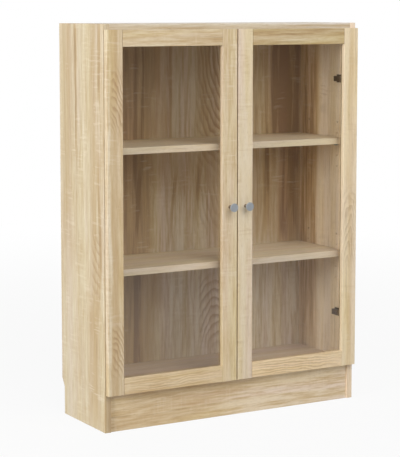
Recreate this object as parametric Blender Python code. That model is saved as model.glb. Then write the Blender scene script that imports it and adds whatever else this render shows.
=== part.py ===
"""Glass-door display cabinet: an oak-effect case, two framed glass doors on concealed hinges.

Metres, +Z up. X runs along the front, -Y is the side that the doors open to. The origin is
under the middle of the whole cabinet, knobs included, on the floor.
"""

import math

import bmesh
import bpy
from mathutils import Matrix, Vector

# Case
CASE_WIDTH = 0.802
CASE_HEIGHT = 1.086
SIDE_DEPTH = 0.265
PANEL_THICKNESS = 0.018
PLINTH_HEIGHT = 0.100
PLINTH_RECESS = 0.004
PLINTH_THICKNESS = 0.018
BACK_THICKNESS = 0.003
BACK_RECESS = 0.010
BACK_BITE = 0.005
SKIRTING_CUT_DEPTH = 0.015
SKIRTING_CUT_HEIGHT = 0.078
SKIRTING_CUT_SLOPE = 0.022
BOARD_EDGE = 0.0008

# Shelves and the pins that carry them
SHELF_THICKNESS = 0.018
SHELF_TOP_LOWER = 0.4325
SHELF_TOP_UPPER = 0.758
SHELF_FRONT_SETBACK = 0.022
SHELF_BACK_GAP = 0.002
SHELF_END_GAP = 0.002
PIN_FRONT_SETBACK = 0.060
PIN_REAR_SETBACK = 0.205
PIN_RADIUS = 0.0025
PIN_PEG_LENGTH = 0.0085
PIN_COLLAR_RADIUS = 0.004
PIN_COLLAR_LENGTH = 0.001
PIN_REST_RADIUS = 0.003
PIN_REST_LENGTH = 0.008
PIN_HOLE_RADIUS = 0.0027
PIN_HOLE_DEPTH = 0.010
PIN_HOLE_PITCH = 0.032
PIN_HOLES_EACH_WAY = 2

# Doors
DOOR_ABOVE_PLINTH = 0.0025
DOOR_BELOW_TOP = 0.015
DOOR_THICKNESS = 0.016
DOOR_GAP = 0.0015
DOOR_INSET = 0.0024
CENTRE_GAP = 0.0036
STILE_WIDTH = 0.0465
RAIL_WIDTH = 0.0445
FRAME_ROUND = 0.0012
GLASS_SETBACK = 0.0116
GLASS_THICKNESS = 0.003
GLASS_EDGE_GAP = 0.001
REBATE_WIDTH = 0.007
STRIP_THICKNESS = 0.0018
STRIP_WIDTH = 0.0062
BACK_EDGE_ROUND = 0.0004
BUMPER_RADIUS = 0.004
BUMPER_INSET = 0.012

# Knobs
KNOB_LENGTH = 0.025
KNOB_FACE_RADIUS = 0.0118
KNOB_NECK_RADIUS = 0.0045
KNOB_RIM = 0.0035
KNOB_EDGE = 0.0008
KNOB_FLARE_STEPS = 8
SCREW_RADIUS = 0.002
SCREW_GRIP = 0.010
SCREW_HEAD_RADIUS = 0.004
SCREW_HEAD_TOP_RADIUS = 0.0028
SCREW_HEAD_HEIGHT = 0.0022

# Concealed hinges
HINGE_FROM_DOOR_END = 0.145
CUP_RADIUS = 0.0174
CUP_WALL = 0.0011
CUP_DEPTH = 0.0112
CUP_RIM_PROUD = 0.0007
CUP_EDGE_DISTANCE = 0.0205
CUP_PIN_EDGE_DISTANCE = 0.009
CUP_PIN_DEPTH = 0.0045
CUP_PIN_RADIUS = 0.001
FLANGE_THICKNESS = 0.0008
FLANGE_HALF_LENGTH = 0.027
FLANGE_NEAR = 0.0175
FLANGE_FAR = 0.0345
FLANGE_CORNER = 0.005
ARM_PIN_STANDOFF = 0.016
ARM_PIN_SETBACK = 0.0045
ARM_PIN_RADIUS = 0.0015
ARM_WALL = 0.0012
ARM_NOSE_RADIUS = 0.004
ARM_NOSE_OFFSET = 0.0006
ARM_FOOT_START = 0.024
ARM_SLOPE_END = 0.030
ARM_END = 0.062
ARM_REAR_STANDOFF = 0.0125
ARM_FOOT_STANDOFF = 0.004
LINK_WIDTH = 0.012
LINK_THICKNESS = 0.002
LINK_KNEE = 0.0075
LINK_KNEE_ROUND = 0.003
LINK_ARM_EYE = 0.003
LINK_CUP_EYE = 0.0023
PLATE_THICKNESS = 0.002
PLATE_HALF_HEIGHT = 0.0115
PLATE_EDGE = 0.0005
PLATE_START = 0.026
BLOCK_HALF_HEIGHT = 0.0058
DOOR_OPENING = math.radians(100)
LINK_SHARE = 0.21

# Clearances
CONTACT_GAP = 0.0003
PIN_PLAY = 0.0002
CUTTER_MARGIN = 0.002
ROUND_STEPS = 40
PIN_STEPS = 20
SMALL_STEPS = 12
AXIS_MARK = 0.03

# Worked out from the above
FRONT_REACH = DOOR_GAP + DOOR_THICKNESS + CONTACT_GAP + KNOB_LENGTH
CASE_FRONT = (FRONT_REACH - SIDE_DEPTH) / 2
DOOR_FRONT = CASE_FRONT - DOOR_GAP - DOOR_THICKNESS
DOOR_BACK = CASE_FRONT - DOOR_GAP
DOOR_BOTTOM = PLINTH_HEIGHT + DOOR_ABOVE_PLINTH
DOOR_TOP = CASE_HEIGHT - DOOR_BELOW_TOP
DOOR_HEIGHT = DOOR_TOP - DOOR_BOTTOM
DOOR_MIDDLE = (DOOR_BOTTOM + DOOR_TOP) / 2
DOOR_WIDTH = CASE_WIDTH / 2 - DOOR_INSET - CENTRE_GAP / 2
BOTTOM_TOP = PLINTH_HEIGHT + PANEL_THICKNESS
BACK_FRONT = CASE_FRONT + SIDE_DEPTH - BACK_RECESS - BACK_THICKNESS
HINGE_HEIGHTS = {
    "lower": DOOR_BOTTOM + HINGE_FROM_DOOR_END,
    "upper": DOOR_TOP - HINGE_FROM_DOOR_END,
}
SHELF_TOPS = {"lower": SHELF_TOP_LOWER, "upper": SHELF_TOP_UPPER}
SIDES = {"left": -1, "right": 1}


def linear(red, green, blue):
    """A display colour, 0 to 255, as the linear values that a shader takes."""
    parts = []
    for value in (red, green, blue):
        share = value / 255
        parts.append(share / 12.92 if share <= 0.04045 else ((share + 0.055) / 1.055) ** 2.4)
    return (*parts, 1.0)


def make_material(name, colour, roughness, metallic=0.0, alpha=1.0):
    material = bpy.data.materials.new(name)
    material.use_nodes = True
    shader = material.node_tree.nodes["Principled BSDF"]
    shader.inputs["Base Color"].default_value = colour
    shader.inputs["Roughness"].default_value = roughness
    shader.inputs["Metallic"].default_value = metallic
    shader.inputs["Alpha"].default_value = alpha
    material.diffuse_color = (*colour[:3], alpha)
    return material


def clear_scene():
    for item in list(bpy.data.objects):
        bpy.data.objects.remove(item, do_unlink=True)


def across(side, inset):
    """X of a point this far in from the case's outer face on one side, -1 left and 1 right."""
    return side * (CASE_WIDTH / 2 - inset)


# Mesh builders, each around its own origin


def mesh_from(name, bm):
    bmesh.ops.recalc_face_normals(bm, faces=bm.faces)
    mesh = bpy.data.meshes.new(name)
    bm.to_mesh(mesh)
    bm.free()
    return mesh


def box_mesh(name, size):
    bm = bmesh.new()
    bmesh.ops.create_cube(bm, size=1.0)
    bmesh.ops.scale(bm, vec=Vector(size), verts=bm.verts)
    return mesh_from(name, bm)


def prism_mesh(name, outline, length, along="Z"):
    """An outline extruded evenly about its plane. Along Z it lies in XY, along X in YZ."""
    bm = bmesh.new()
    half = length / 2
    verts = []
    for u, v in outline:
        verts.append(bm.verts.new((u, v, -half) if along == "Z" else (-half, u, v)))
    face = bm.faces.new(verts)
    swept = bmesh.ops.extrude_face_region(bm, geom=[face])
    moved = [part for part in swept["geom"] if isinstance(part, bmesh.types.BMVert)]
    step = Vector((0, 0, length)) if along == "Z" else Vector((length, 0, 0))
    bmesh.ops.translate(bm, verts=moved, vec=step)
    return mesh_from(name, bm)


def turned_mesh(name, profile, steps=ROUND_STEPS):
    """A profile of (radius, height) that starts and ends on the Z axis, turned about it."""
    bm = bmesh.new()
    verts = [bm.verts.new((radius, 0, height)) for radius, height in profile]
    edges = [bm.edges.new(pair) for pair in zip(verts, verts[1:])]
    bmesh.ops.spin(
        bm,
        geom=verts + edges,
        cent=(0, 0, 0),
        axis=(0, 0, 1),
        angle=math.tau,
        steps=steps,
        use_merge=True,
    )
    bmesh.ops.remove_doubles(bm, verts=bm.verts, dist=1e-6)
    mesh = mesh_from(name, bm)
    mesh.shade_smooth()
    mesh.set_sharp_from_angle(angle=math.radians(35))
    return mesh


def rod_mesh(name, radius, length, steps=SMALL_STEPS):
    half = length / 2
    return turned_mesh(name, [(0, -half), (radius, -half), (radius, half), (0, half)], steps)


def arc(centre, radius, start, end, steps):
    """Points on a circle, from one angle to another, both ends included."""
    points = []
    for i in range(steps + 1):
        angle = start + (end - start) * i / steps
        points.append((centre[0] + radius * math.cos(angle), centre[1] + radius * math.sin(angle)))
    return points


def rounded_rectangle(low, high, low_round, high_round, steps=3):
    """A rectangle whose two corners at low v and two at high v have radii of their own."""
    quarter = math.pi / 2
    corners = (
        (low[0] + low_round, low[1] + low_round, low_round, 2 * quarter),
        (high[0] - low_round, low[1] + low_round, low_round, 3 * quarter),
        (high[0] - high_round, high[1] - high_round, high_round, 4 * quarter),
        (low[0] + high_round, high[1] - high_round, high_round, 5 * quarter),
    )
    points = []
    for u, v, radius, start in corners:
        points += arc((u, v), radius, start, start + quarter, steps)
    return points


def ribbon(path, thickness):
    """The outline of a strip of even thickness that follows a path."""
    left, right = [], []
    points = [Vector(point) for point in path]
    for i, point in enumerate(points):
        ahead = points[min(i + 1, len(points) - 1)]
        behind = points[max(i - 1, 0)]
        run = (ahead - behind).normalized()
        out = Vector((-run.y, run.x)) * thickness / 2
        left.append(tuple(point + out))
        right.append(tuple(point - out))
    return left + right[::-1]


def rounded_path(start, corner, end, radius, steps=6):
    """Two straight runs that meet at a corner, joined by an arc."""
    start, corner, end = Vector(start), Vector(corner), Vector(end)
    back = (start - corner).normalized()
    ahead = (end - corner).normalized()
    half_angle = back.angle(ahead) / 2
    reach = radius / math.tan(half_angle)
    centre = corner + (back + ahead).normalized() * radius / math.sin(half_angle)
    first = corner + back * reach - centre
    turn = first.angle_signed(corner + ahead * reach - centre)
    points = [tuple(start)]
    for i in range(steps + 1):
        spoke = Matrix.Rotation(-turn * i / steps, 2) @ first
        points.append(tuple(centre + spoke))
    return points + [tuple(end)]


# Objects


def origin_of(body):
    """World position of an empty that only ever moves, up its chain of parents."""
    place = body.location.copy()
    while body.parent:
        body = body.parent
        place += body.location
    return place


def add_axis(name, place, parent=None):
    empty = bpy.data.objects.new(name, None)
    empty.empty_display_size = AXIS_MARK
    bpy.context.collection.objects.link(empty)
    empty.parent = parent
    empty.location = Vector(place) - (origin_of(parent) if parent else Vector())
    return empty


def add_piece(name, mesh, place, body, material=None, turn=(0, 0, 0)):
    piece = bpy.data.objects.new(name, mesh)
    bpy.context.collection.objects.link(piece)
    piece.parent = body
    piece.location = Vector(place) - origin_of(body)
    piece.rotation_euler = turn
    if material:
        mesh.materials.append(material)
    return piece


def add_helper(name, mesh, place, body, turn=(0, 0, 0)):
    """A solid that only cuts or joins another, and isn't part of the cabinet."""
    helper = add_piece(name, mesh, place, body, turn=turn)
    helper.hide_render = True
    helper.display_type = "WIRE"
    return helper


def combine(piece, helper, operation="DIFFERENCE"):
    modifier = piece.modifiers.new(helper.name, "BOOLEAN")
    modifier.operation = operation
    modifier.solver = "EXACT"
    modifier.object = helper


def ease_edges(piece, width):
    modifier = piece.modifiers.new("eased edges", "BEVEL")
    modifier.width = width
    modifier.segments = 2
    modifier.limit_method = "ANGLE"


def middle(low, high):
    return tuple((a + b) / 2 for a, b in zip(low, high))


def box_between(name, low, high, body, material=None):
    size = [abs(b - a) for a, b in zip(low, high)]
    mesh = box_mesh(name, size)
    if material:
        return add_piece(name, mesh, middle(low, high), body, material)
    return add_helper(name, mesh, middle(low, high), body)


def add_board(name, low, high, body, material):
    board = box_between(name, low, high, body, material)
    ease_edges(board, BOARD_EDGE)
    return board


# Case


def shelf_pin_height(level):
    """The height of a pin's axis, with the shelf resting on the pin."""
    return SHELF_TOPS[level] - SHELF_THICKNESS - CONTACT_GAP - PIN_REST_RADIUS


def side_outline():
    """The side panel seen from its end, with the cut that clears a skirting board."""
    front = CASE_FRONT
    rear = CASE_FRONT + SIDE_DEPTH
    cut = rear - SKIRTING_CUT_DEPTH
    return [
        (front, 0),
        (cut, 0),
        (cut, SKIRTING_CUT_HEIGHT),
        (rear, SKIRTING_CUT_HEIGHT + SKIRTING_CUT_SLOPE),
        (rear, CASE_HEIGHT),
        (front, CASE_HEIGHT),
    ]


def pin_hole_places():
    """How far behind the case front, and how high, each shelf pin hole is in a side panel."""
    places = []
    for level in SHELF_TOPS:
        for setback in (PIN_FRONT_SETBACK, PIN_REAR_SETBACK):
            for step in range(-PIN_HOLES_EACH_WAY, PIN_HOLES_EACH_WAY + 1):
                places.append((setback, shelf_pin_height(level) + step * PIN_HOLE_PITCH))
    return places


def drill_pin_holes(panel, name, side, body):
    """Cuts all of a side panel's holes with one cutter that has a rod for each."""
    length = PIN_HOLE_DEPTH + CUTTER_MARGIN
    inset = PANEL_THICKNESS - PIN_HOLE_DEPTH + length / 2
    crosswise = Matrix.Rotation(math.pi / 2, 4, "Y")
    bm = bmesh.new()
    for setback, height in pin_hole_places():
        bmesh.ops.create_cone(
            bm,
            cap_ends=True,
            segments=SMALL_STEPS,
            radius1=PIN_HOLE_RADIUS,
            radius2=PIN_HOLE_RADIUS,
            depth=length,
            matrix=Matrix.Translation((0, setback, height)) @ crosswise,
        )
    cutter_name = f"pin_holes_{name}"
    place = (across(side, inset), CASE_FRONT, 0)
    combine(panel, add_helper(cutter_name, mesh_from(cutter_name, bm), place, body))


def add_side_panel(name, side, body, material):
    mesh = prism_mesh(f"side_panel_{name}", side_outline(), PANEL_THICKNESS, along="X")
    place = (across(side, PANEL_THICKNESS / 2), 0, 0)
    panel = add_piece(f"side_panel_{name}", mesh, place, body, material)
    ease_edges(panel, BOARD_EDGE)
    groove_front = BACK_FRONT - CONTACT_GAP
    groove = box_between(
        f"back_groove_{name}",
        (across(side, PANEL_THICKNESS - BACK_BITE - CONTACT_GAP), groove_front, PLINTH_HEIGHT),
        (
            across(side, PANEL_THICKNESS + CUTTER_MARGIN),
            BACK_FRONT + BACK_THICKNESS + CONTACT_GAP,
            CASE_HEIGHT + CUTTER_MARGIN,
        ),
        body,
    )
    combine(panel, groove)
    drill_pin_holes(panel, name, side, body)
    return panel


def add_case(body, oak, oak_back):
    for name, side in SIDES.items():
        add_side_panel(name, side, body, oak)
    inner = CASE_WIDTH / 2 - PANEL_THICKNESS - CONTACT_GAP
    rear = BACK_FRONT - CONTACT_GAP
    add_board(
        "top_panel",
        (-inner, CASE_FRONT, CASE_HEIGHT - PANEL_THICKNESS),
        (inner, rear, CASE_HEIGHT),
        body,
        oak,
    )
    add_board(
        "bottom_panel", (-inner, CASE_FRONT, PLINTH_HEIGHT), (inner, rear, BOTTOM_TOP), body, oak
    )
    plinth_front = CASE_FRONT + PLINTH_RECESS
    add_board(
        "plinth_board",
        (-inner, plinth_front, 0),
        (inner, plinth_front + PLINTH_THICKNESS, PLINTH_HEIGHT - CONTACT_GAP),
        body,
        oak,
    )
    back_half = CASE_WIDTH / 2 - PANEL_THICKNESS + BACK_BITE
    box_between(
        "back_panel",
        (-back_half, BACK_FRONT, PLINTH_HEIGHT + CONTACT_GAP),
        (back_half, BACK_FRONT + BACK_THICKNESS, CASE_HEIGHT),
        body,
        oak_back,
    )


# Shelves


def pin_profile():
    """Peg, collar and rest, from the bottom of the peg towards the middle of the cabinet."""
    collar = PIN_PEG_LENGTH + PIN_COLLAR_LENGTH
    end = collar + PIN_REST_LENGTH
    return [
        (0, 0),
        (PIN_RADIUS, 0),
        (PIN_RADIUS, PIN_PEG_LENGTH),
        (PIN_COLLAR_RADIUS, PIN_PEG_LENGTH),
        (PIN_COLLAR_RADIUS, collar),
        (PIN_REST_RADIUS, collar),
        (PIN_REST_RADIUS, end),
        (0, end),
    ]


def add_shelf(level, body, material):
    half = CASE_WIDTH / 2 - PANEL_THICKNESS - SHELF_END_GAP
    top = SHELF_TOPS[level]
    add_board(
        f"shelf_{level}",
        (-half, CASE_FRONT + SHELF_FRONT_SETBACK, top - SHELF_THICKNESS),
        (half, BACK_FRONT - SHELF_BACK_GAP, top),
        body,
        material,
    )


def add_shelf_pins(level, body, material):
    seat = PANEL_THICKNESS + CONTACT_GAP - PIN_PEG_LENGTH
    for name, side in SIDES.items():
        for row, setback in (("front", PIN_FRONT_SETBACK), ("rear", PIN_REAR_SETBACK)):
            pin_name = f"shelf_pin_{level}_{name}_{row}"
            mesh = turned_mesh(pin_name, pin_profile(), SMALL_STEPS)
            place = (across(side, seat), CASE_FRONT + setback, shelf_pin_height(level))
            add_piece(pin_name, mesh, place, body, material, turn=(0, -side * math.pi / 2, 0))


# Doors


def door_x(side, distance):
    """X of a point this far from a door's hinged edge."""
    return across(side, DOOR_INSET + distance)


def frame_outline(width):
    """The section of a frame member: front edges rounded, back edges barely."""
    half = width / 2
    return rounded_rectangle(
        (-half, 0), (half, DOOR_THICKNESS), FRAME_ROUND, BACK_EDGE_ROUND, steps=2
    )


def add_stile(name, side, centre, body, material):
    mesh = prism_mesh(name, frame_outline(STILE_WIDTH), DOOR_HEIGHT)
    place = (door_x(side, centre), DOOR_FRONT, DOOR_MIDDLE)
    return add_piece(name, mesh, place, body, material)


def add_rail(name, side, height, body, material):
    outline = [(depth, across_rail) for across_rail, depth in frame_outline(RAIL_WIDTH)]
    length = DOOR_WIDTH - 2 * STILE_WIDTH - 2 * CONTACT_GAP
    mesh = prism_mesh(name, outline, length, along="X")
    place = (door_x(side, DOOR_WIDTH / 2), DOOR_FRONT, height)
    return add_piece(name, mesh, place, body, material)


def glass_opening(side, grow):
    """Low and high (x, z) of the glazed opening, made larger all round by grow."""
    edges = (
        door_x(side, STILE_WIDTH - grow),
        door_x(side, DOOR_WIDTH - STILE_WIDTH + grow),
    )
    low = (min(edges), DOOR_BOTTOM + RAIL_WIDTH - grow)
    high = (max(edges), DOOR_TOP - RAIL_WIDTH + grow)
    return low, high


def add_door_frame(name, side, body, oak):
    hinge_stile = add_stile(f"door_{name}_hinge_stile", side, STILE_WIDTH / 2, body, oak)
    meeting = DOOR_WIDTH - STILE_WIDTH / 2
    meeting_stile = add_stile(f"door_{name}_meeting_stile", side, meeting, body, oak)
    top_rail = add_rail(f"door_{name}_top_rail", side, DOOR_TOP - RAIL_WIDTH / 2, body, oak)
    low_height = DOOR_BOTTOM + RAIL_WIDTH / 2
    bottom_rail = add_rail(f"door_{name}_bottom_rail", side, low_height, body, oak)
    low, high = glass_opening(side, REBATE_WIDTH)
    rebate = box_between(
        f"rebate_{name}",
        (low[0], DOOR_FRONT + GLASS_SETBACK, low[1]),
        (high[0], DOOR_BACK + CUTTER_MARGIN, high[1]),
        body,
    )
    for member in (hinge_stile, meeting_stile, top_rail, bottom_rail):
        combine(member, rebate)
    return hinge_stile, meeting_stile


def add_glass(name, side, body, material):
    low, high = glass_opening(side, REBATE_WIDTH - GLASS_EDGE_GAP)
    front = DOOR_FRONT + GLASS_SETBACK + CONTACT_GAP
    box_between(
        f"door_{name}_glass",
        (low[0], front, low[1]),
        (high[0], front + GLASS_THICKNESS, high[1]),
        body,
        material,
    )


def add_glazing_strips(name, side, body, material):
    """Four strips in the rebate behind the glass, the upright ones running full height."""
    outer_low, outer_high = glass_opening(side, REBATE_WIDTH - CONTACT_GAP)
    inner_low, inner_high = glass_opening(side, REBATE_WIDTH - CONTACT_GAP - STRIP_WIDTH)
    front = DOOR_FRONT + GLASS_SETBACK + GLASS_THICKNESS + 2 * CONTACT_GAP
    back = front + STRIP_THICKNESS
    between = (inner_low[0] + CONTACT_GAP, inner_high[0] - CONTACT_GAP)
    strips = {
        "strip_left": ((outer_low[0], outer_low[1]), (inner_low[0], outer_high[1])),
        "strip_right": ((inner_high[0], outer_low[1]), (outer_high[0], outer_high[1])),
        "strip_bottom": ((between[0], outer_low[1]), (between[1], inner_low[1])),
        "strip_top": ((between[0], inner_high[1]), (between[1], outer_high[1])),
    }
    for strip, (low, high) in strips.items():
        box_between(
            f"door_{name}_{strip}",
            (low[0], front, low[1]),
            (high[0], back, high[1]),
            body,
            material,
        )


def add_bumper(name, side, body, material):
    """A thin pad between the door's back and the front edge of the bottom panel."""
    thickness = DOOR_GAP - 2 * CONTACT_GAP
    height = (DOOR_BOTTOM + BOTTOM_TOP) / 2
    depth = DOOR_BACK + CONTACT_GAP + thickness / 2
    bumper_name = f"door_{name}_bumper"
    mesh = rod_mesh(bumper_name, BUMPER_RADIUS, thickness, PIN_STEPS)
    place = (door_x(side, DOOR_WIDTH - BUMPER_INSET), depth, height)
    add_piece(bumper_name, mesh, place, body, material, turn=(math.pi / 2, 0, 0))


# Knobs


def knob_profile():
    """From the bottom of the screw's bore, round the flared head, to the middle of the face."""
    bore = SCREW_RADIUS + PIN_PLAY
    bore_end = SCREW_GRIP + PIN_PLAY
    flare_height = KNOB_LENGTH - KNOB_RIM
    profile = [(0, bore_end), (bore, bore_end), (bore, 0), (KNOB_NECK_RADIUS, 0)]
    for i in range(1, KNOB_FLARE_STEPS + 1):
        share = i / KNOB_FLARE_STEPS
        flare = (KNOB_FACE_RADIUS - KNOB_NECK_RADIUS) * share**2
        profile.append((KNOB_NECK_RADIUS + flare, flare_height * share))
    edge_centre = (KNOB_FACE_RADIUS - KNOB_EDGE, KNOB_LENGTH - KNOB_EDGE)
    profile += arc(edge_centre, KNOB_EDGE, 0, math.pi / 2, 3)
    return profile + [(0, KNOB_LENGTH)]


def screw_profile():
    """Head first, then the shank that runs through the stile into the knob."""
    length = DOOR_THICKNESS + CONTACT_GAP + SCREW_GRIP
    return [
        (0, -SCREW_HEAD_HEIGHT),
        (SCREW_HEAD_TOP_RADIUS, -SCREW_HEAD_HEIGHT),
        (SCREW_HEAD_RADIUS, -SCREW_HEAD_HEIGHT / 2),
        (SCREW_HEAD_RADIUS, 0),
        (SCREW_RADIUS, 0),
        (SCREW_RADIUS, length),
        (0, length),
    ]


def add_knob(name, side, body, stile, metal, screw_metal):
    x = door_x(side, DOOR_WIDTH - STILE_WIDTH / 2)
    towards_front = (math.pi / 2, 0, 0)
    hole = add_helper(
        f"knob_hole_{name}",
        rod_mesh(f"knob_hole_{name}", SCREW_RADIUS + PIN_PLAY, 2 * DOOR_THICKNESS),
        (x, DOOR_FRONT + DOOR_THICKNESS / 2, DOOR_MIDDLE),
        body,
        turn=towards_front,
    )
    combine(stile, hole)
    knob_mesh = turned_mesh(f"door_{name}_knob", knob_profile())
    knob_place = (x, DOOR_FRONT - CONTACT_GAP, DOOR_MIDDLE)
    add_piece(f"door_{name}_knob", knob_mesh, knob_place, body, metal, turn=towards_front)
    screw_mesh = turned_mesh(f"door_{name}_knob_screw", screw_profile(), PIN_STEPS)
    screw_place = (x, DOOR_BACK + CONTACT_GAP, DOOR_MIDDLE)
    screw_name = f"door_{name}_knob_screw"
    add_piece(screw_name, screw_mesh, screw_place, body, screw_metal, turn=towards_front)


# Hinges. Plan points are (distance in from the side's inner face, distance behind the case front)


def arm_pin_place(side, height):
    x = across(side, PANEL_THICKNESS + ARM_PIN_STANDOFF)
    return Vector((x, CASE_FRONT + ARM_PIN_SETBACK, height))


def cup_pin_place(side, height):
    x = door_x(side, CUP_PIN_EDGE_DISTANCE)
    return Vector((x, DOOR_BACK - CUP_PIN_DEPTH, height))


def plan(side, points):
    """Plan points about the arm's pin, with X turned to suit the side."""
    placed = []
    for standoff, setback in points:
        placed.append((-side * (standoff - ARM_PIN_STANDOFF), setback - ARM_PIN_SETBACK))
    return placed


def link_path(side):
    """The link's centre line about the arm's pin, cranked so that it clears the cup's rim.

    Fully open, its first run stands square out of the door's back. Closed, that run has turned
    back into the cup by the door's opening and the link's own share of it.
    """
    start = cup_pin_place(side, 0) - arm_pin_place(side, 0)
    angle = math.pi / 2 - DOOR_OPENING * (1 + LINK_SHARE)
    knee = start + LINK_KNEE * Vector((-side * math.cos(angle), math.sin(angle), 0))
    return rounded_path(start.xy, knee.xy, (0, 0), LINK_KNEE_ROUND)


def add_link(name, level, side, body, material):
    link_name = f"hinge_link_{name}_{level}"
    place = arm_pin_place(side, HINGE_HEIGHTS[level])
    cup_end = cup_pin_place(side, HINGE_HEIGHTS[level])
    mesh = prism_mesh(link_name, ribbon(link_path(side), LINK_THICKNESS), LINK_WIDTH)
    link = add_piece(link_name, mesh, place, body, material)
    ends = (
        ("arm", place, LINK_ARM_EYE, ARM_PIN_RADIUS),
        ("cup", cup_end, LINK_CUP_EYE, CUP_PIN_RADIUS),
    )
    for end, centre, eye_radius, _pin_radius in ends:
        eye_name = f"eye_{end}_{name}_{level}"
        mesh = rod_mesh(eye_name, eye_radius, LINK_WIDTH, PIN_STEPS)
        combine(link, add_helper(eye_name, mesh, centre, body), "UNION")
    for end, centre, _eye_radius, pin_radius in ends:
        bore_name = f"bore_{end}_{name}_{level}"
        mesh = rod_mesh(bore_name, pin_radius + PIN_PLAY, LINK_WIDTH + CUTTER_MARGIN, PIN_STEPS)
        combine(link, add_helper(bore_name, mesh, centre, body))


def arm_outline(wall):
    """The arm seen from above. A wall above zero gives the channel inside it instead."""
    nose = (ARM_PIN_STANDOFF + ARM_NOSE_OFFSET, ARM_PIN_SETBACK)
    top = nose[0] + ARM_NOSE_RADIUS - wall
    rear_top = ARM_REAR_STANDOFF - wall
    if wall:
        foot = ARM_FOOT_STANDOFF - CUTTER_MARGIN
        front = ARM_PIN_SETBACK - ARM_NOSE_RADIUS - CUTTER_MARGIN
        end = ARM_END + CUTTER_MARGIN
        return [
            (foot, front),
            (top, front),
            (top, ARM_PIN_SETBACK),
            (rear_top, ARM_SLOPE_END),
            (rear_top, end),
            (foot, end),
        ]
    around = arc(nose, ARM_NOSE_RADIUS, 0, -math.pi, 8)
    return around + [
        (ARM_FOOT_STANDOFF, ARM_FOOT_START),
        (ARM_FOOT_STANDOFF, ARM_END),
        (rear_top, ARM_END),
        (rear_top, ARM_SLOPE_END),
    ]


def add_arm(name, level, side, body, material):
    arm_name = f"hinge_arm_{name}_{level}"
    place = arm_pin_place(side, HINGE_HEIGHTS[level])
    channel_width = LINK_WIDTH + 2 * CONTACT_GAP
    outer_width = channel_width + 2 * ARM_WALL
    mesh = prism_mesh(arm_name, plan(side, arm_outline(0)), outer_width)
    arm = add_piece(arm_name, mesh, place, body, material)
    channel_name = f"arm_channel_{name}_{level}"
    mesh = prism_mesh(channel_name, plan(side, arm_outline(ARM_WALL)), channel_width)
    combine(arm, add_helper(channel_name, mesh, place, body))
    pin_name = f"arm_pin_{name}_{level}"
    mesh = rod_mesh(pin_name, ARM_PIN_RADIUS, outer_width - ARM_WALL, PIN_STEPS)
    combine(arm, add_helper(pin_name, mesh, place, body), "UNION")


def add_mounting_plate(name, level, side, body, material):
    plate_name = f"hinge_plate_{name}_{level}"
    height = HINGE_HEIGHTS[level]
    base = PANEL_THICKNESS + CONTACT_GAP
    block_top = PANEL_THICKNESS + ARM_REAR_STANDOFF - ARM_WALL - CONTACT_GAP
    start = CASE_FRONT + PLATE_START
    end = CASE_FRONT + ARM_END
    plate = box_between(
        plate_name,
        (across(side, base), start, height - PLATE_HALF_HEIGHT),
        (across(side, base + PLATE_THICKNESS), end, height + PLATE_HALF_HEIGHT),
        body,
        material,
    )
    ease_edges(plate, PLATE_EDGE)
    block_start = CASE_FRONT + ARM_SLOPE_END
    block = box_between(
        f"plate_block_{name}_{level}",
        (across(side, base + PLATE_THICKNESS / 2), block_start, height - BLOCK_HALF_HEIGHT),
        (across(side, block_top), end - BOARD_EDGE, height + BLOCK_HALF_HEIGHT),
        body,
    )
    combine(plate, block, "UNION")


def cup_profile():
    """The cup's wall and floor. Its rim stands out of the door, part way through the flange."""
    rim = CUP_DEPTH + CUP_RIM_PROUD
    return [
        (0, 0),
        (CUP_RADIUS, 0),
        (CUP_RADIUS, rim),
        (CUP_RADIUS - CUP_WALL, rim),
        (CUP_RADIUS - CUP_WALL, CUP_WALL),
        (0, CUP_WALL),
    ]


def add_cup_pocket(name, level, side, body, stile):
    """The round pocket that a cup sits in, from the back of the stile."""
    length = CUP_DEPTH + CONTACT_GAP + CUTTER_MARGIN
    centre = DOOR_BACK + CUTTER_MARGIN - length / 2
    pocket_name = f"cup_pocket_{name}_{level}"
    mesh = rod_mesh(pocket_name, CUP_RADIUS + PIN_PLAY, length, ROUND_STEPS)
    place = (door_x(side, CUP_EDGE_DISTANCE), centre, HINGE_HEIGHTS[level])
    pocket = add_helper(pocket_name, mesh, place, body, turn=(math.pi / 2, 0, 0))
    combine(stile, pocket)


def add_flange(name, level, side, body):
    """The oblong plate that screws to the back of the stile. Its mouth bites into the cup's wall."""
    height = HINGE_HEIGHTS[level]
    low = (FLANGE_NEAR - CUP_EDGE_DISTANCE, -FLANGE_HALF_LENGTH)
    high = (FLANGE_FAR - CUP_EDGE_DISTANCE, FLANGE_HALF_LENGTH)
    outline = rounded_rectangle(low, high, FLANGE_CORNER, FLANGE_CORNER, steps=4)
    turned = [(-side * u, v) for u, v in outline]
    centre = DOOR_BACK + CONTACT_GAP + FLANGE_THICKNESS / 2
    place = (door_x(side, CUP_EDGE_DISTANCE), centre, height)
    flange_name = f"cup_flange_{name}_{level}"
    mesh = prism_mesh(flange_name, turned, FLANGE_THICKNESS)
    flange = add_helper(flange_name, mesh, place, body, turn=(math.pi / 2, 0, 0))
    mouth_name = f"cup_mouth_{name}_{level}"
    mesh = rod_mesh(mouth_name, CUP_RADIUS - CUP_WALL / 2, 4 * FLANGE_THICKNESS, ROUND_STEPS)
    mouth = add_helper(mouth_name, mesh, place, body, turn=(-math.pi / 2, 0, 0))
    combine(flange, mouth)
    return flange


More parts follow.
